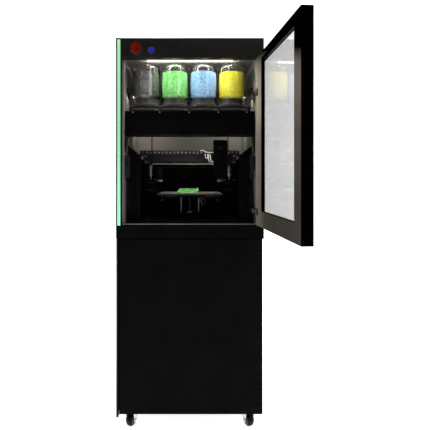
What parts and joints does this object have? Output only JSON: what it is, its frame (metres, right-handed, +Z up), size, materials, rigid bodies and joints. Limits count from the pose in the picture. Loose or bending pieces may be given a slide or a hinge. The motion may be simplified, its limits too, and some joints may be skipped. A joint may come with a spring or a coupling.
{
  "type": "cabinet pellet-extrusion 3d printer",
  "caption": "Tall black cabinet 3D printer on castors, glass door open, clear pellet jars over a gantry print chamber and a closed lower bay.",
  "frame": {"origin": "on the floor, under the middle of the cabinet's footprint", "axes": "+Z up, the front faces -Y, +X to the right seen from the front"},
  "size_m": [0.6478, 1.1713, 1.6],
  "materials": {
    "black_panel": "satin powder coat",
    "white_liner": "warm grey-white satin paint",
    "grey_trim": "anodised grey",
    "black_aluminium": "black anodised",
    "led_green": "glowing green diffuser",
    "led_white": "glowing white",
    "black_plastic": "matte black",
    "grey_plastic": "matte grey",
    "steel": "ground steel",
    "chromed": "polished",
    "zinc": "bright zinc plate",
    "clear_glass": "clear",
    "clear_jar": "clear",
    "rubber_black": "matte",
    "tyre_black": "smooth tread",
    "red_plastic": "gloss red",
    "blue_plastic": "gloss blue",
    "pellet_plastic": "coloured pellets",
    "green_print": "layered print",
    "brass_hot": "machined",
    "circuit_board": "solder mask",
    "silver_metal": "machined"
  },
  "bodies": {
    "cabinet": {"side_panels": "black_panel", "top_panel": "black_panel", "base_panel": "black_panel", "back_panel": "black_panel", "header_fascia": "black_panel", "front_band": "black_panel", "led_profile": "black_aluminium", "led_diffuser": "led_green", "ceiling_led_strip": "led_white", "chamber_liner": "white_liner", "chamber_floor": "white_liner", "chamber_back_wall": "white_liner", "hinge_arms": "zinc", "door_lock": "black_plastic", "wall_conduits": "black_plastic", "feed_box": "black_panel", "feed_box_cover": "black_panel", "printer_frame": "black_aluminium", "y_rails": "steel", "y_belts": "rubber_black", "stepper_motors": "black_aluminium", "drive_mounts": "black_aluminium", "power_supply": "silver_metal", "controller_board": "circuit_board", "mains_inlet": "black_plastic", "control_bezels": "zinc", "castor_mounts": "zinc"},
    "upper_door": {"door_frame": "black_aluminium", "door_glass": "clear_glass", "door_gasket": "rubber_black", "hinge_cups": "zinc"},
    "lower_door": {"lower_door_panel": "black_panel", "lower_door_pull": "grey_trim"},
    "estop": {"estop_button": "red_plastic"},
    "start": {"start_button": "blue_plastic"},
    "jar_drawer": {"jar_tray": "black_plastic", "jar_caps": "grey_plastic", "jars": "clear_jar", "pellets": "pellet_plastic"},
    "dosing_shaft": {"feed_shaft": "steel"},
    "gantry": {"gantry_beam": "black_aluminium", "gantry_rod": "chromed", "cable_chain": "black_plastic"},
    "print_head": {"hopper_tower": "black_aluminium", "hot_end": "brass_hot"},
    "extruder": {"extruder_screw": "steel"},
    "drive_right": {"drive_coupling_right": "silver_metal"},
    "drive_left": {"drive_coupling_left": "silver_metal"},
    "bed": {"build_plate": "steel", "bed_bracket": "black_aluminium", "guide_rods": "chromed", "lead_screw": "steel", "printed_insole": "green_print"},
    "lift_nut": {"lead_nut": "brass_hot"},
    "fork_left": {"castor_fork_left": "zinc"},
    "fork_right": {"castor_fork_right": "zinc"},
    "wheel_front_left": {"front_wheel_left": "tyre_black"},
    "wheel_front_right": {"front_wheel_right": "tyre_black"},
    "wheel_rear_left": {"rear_wheel_left": "tyre_black"},
    "wheel_rear_right": {"rear_wheel_right": "tyre_black"}
  },
  "joints": [
    {"name": "upper_door_hinge", "type": "hinge", "parent": "cabinet", "child": "upper_door", "pos_m": [0.297, -0.293, 1.18], "axis": [0, 0, 1], "range_deg": [-94.2, 16]},
    {"name": "lower_door_hinge", "type": "hinge", "parent": "cabinet", "child": "lower_door", "pos_m": [0.291, -0.293, 0.43], "axis": [0, 0, 1], "range_deg": [0, 110]},
    {"name": "estop_press", "type": "slide", "parent": "cabinet", "child": "estop", "axis": [0, 1, 0], "range_m": [0, 0.006], "stiffness_N_per_m": 1500},
    {"name": "start_press", "type": "slide", "parent": "cabinet", "child": "start", "axis": [0, 1, 0], "range_m": [0, 0.003], "stiffness_N_per_m": 800},
    {"name": "jar_drawer_slide", "type": "slide", "parent": "cabinet", "child": "jar_drawer", "axis": [0, -1, 0], "range_m": [0, 0.13]},
    {"name": "dosing_shaft_spin", "type": "hinge", "parent": "cabinet", "child": "dosing_shaft", "pos_m": [0, -0.18, 1.262], "axis": [1, 0, 0], "continuous": true},
    {"name": "gantry_slide", "type": "slide", "parent": "cabinet", "child": "gantry", "axis": [0, 1, 0], "range_m": [-0.15, 0.07]},
    {"name": "head_slide", "type": "slide", "parent": "gantry", "child": "print_head", "axis": [1, 0, 0], "range_m": [-0.29, 0.01]},
    {"name": "extruder_spin", "type": "hinge", "parent": "print_head", "child": "extruder", "pos_m": [0.14, -0.025, 1.12], "axis": [0, 0, 1], "continuous": true},
    {"name": "drive_right_spin", "type": "hinge", "parent": "cabinet", "child": "drive_right", "pos_m": [0.196, 0.128, 1.06], "axis": [0, 0, 1], "continuous": true},
    {"name": "drive_left_spin", "type": "hinge", "parent": "cabinet", "child": "drive_left", "pos_m": [-0.196, 0.128, 1.06], "axis": [0, 0, 1], "continuous": true},
    {"name": "bed_lift", "type": "slide", "parent": "cabinet", "child": "bed", "axis": [0, 0, 1], "range_m": [-0.055, 0.024]},
    {"name": "lift_nut_spin", "type": "hinge", "parent": "cabinet", "child": "lift_nut", "pos_m": [0, 0, 0.86], "axis": [0, 0, 1], "continuous": true},
    {"name": "castor_swivel_left", "type": "hinge", "parent": "cabinet", "child": "fork_left", "pos_m": [-0.238, -0.225, 0.06], "axis": [0, 0, 1], "continuous": true},
    {"name": "front_wheel_left_spin", "type": "hinge", "parent": "fork_left", "child": "wheel_front_left", "pos_m": [-0.24484, -0.24379, 0.027], "axis": [0.9397, -0.342, 0], "continuous": true},
    {"name": "rear_wheel_left_spin", "type": "hinge", "parent": "cabinet", "child": "wheel_rear_left", "pos_m": [-0.238, 0.212, 0.027], "axis": [1, 0, 0], "continuous": true},
    {"name": "castor_swivel_right", "type": "hinge", "parent": "cabinet", "child": "fork_right", "pos_m": [0.238, -0.225, 0.06], "axis": [0, 0, 1], "continuous": true},
    {"name": "front_wheel_right_spin", "type": "hinge", "parent": "fork_right", "child": "wheel_front_right", "pos_m": [0.24484, -0.24379, 0.027], "axis": [0.9397, 0.342, 0], "continuous": true},
    {"name": "rear_wheel_right_spin", "type": "hinge", "parent": "cabinet", "child": "wheel_rear_right", "pos_m": [0.238, 0.212, 0.027], "axis": [1, 0, 0], "continuous": true}
  ],
  "couplings": [
    {"joint": "drive_right_spin", "follows": "gantry_slide", "rad_per_m": 157},
    {"joint": "drive_left_spin", "follows": "gantry_slide", "rad_per_m": -157},
    {"joint": "lift_nut_spin", "follows": "bed_lift", "rad_per_m": 785.4}
  ]
}
